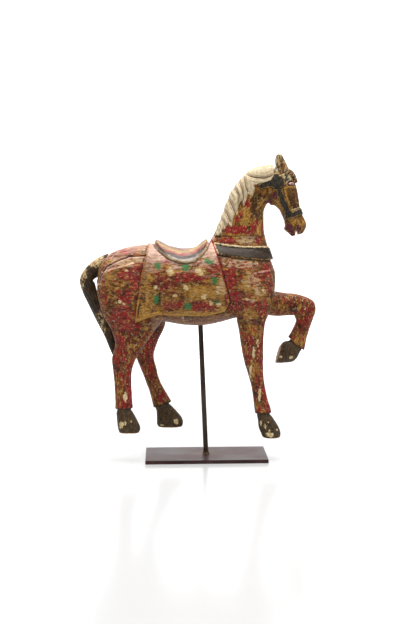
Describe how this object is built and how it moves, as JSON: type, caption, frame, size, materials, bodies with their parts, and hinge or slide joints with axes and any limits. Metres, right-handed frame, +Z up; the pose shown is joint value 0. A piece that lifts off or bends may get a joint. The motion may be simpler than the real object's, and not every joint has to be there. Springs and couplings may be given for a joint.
{
  "type": "decorative horse figure on stand",
  "caption": "Carved and painted wooden prancing horse with saddle, blanket and bridle, held above a flat steel base plate by a slim leaning rod.",
  "frame": {"origin": "centre of the base plate's underside, which rests on the table", "axes": "+X towards the horse's head along the plate's length, +Y towards the horse's left side, +Z up"},
  "size_m": [0.3882, 0.099, 0.4979],
  "materials": {
    "painted_body": "worn ochre, dark red and brown paint on carved wood, satin",
    "painted_head": "worn cream mane, ochre face and black straps painted on carved wood, satin",
    "painted_legs": "worn ochre and dark red paint with black hooves on carved wood, satin",
    "black_tail": "worn black paint with ochre showing through, satin",
    "rod_steel": "dark waxed bare steel, low sheen",
    "weld_steel": "rough weld bead with slight rust",
    "plate_steel": "dark waxed flat steel with a soft sheen"
  },
  "bodies": {
    "root": {"body": "painted_body", "head_and_neck": "painted_head", "right_foreleg": "painted_legs", "left_foreleg": "painted_legs", "right_hind_leg": "painted_legs", "left_hind_leg": "painted_legs", "tail": "black_tail", "rod": "rod_steel", "weld": "weld_steel", "base_plate": "plate_steel"}
  },
  "joints": []
}
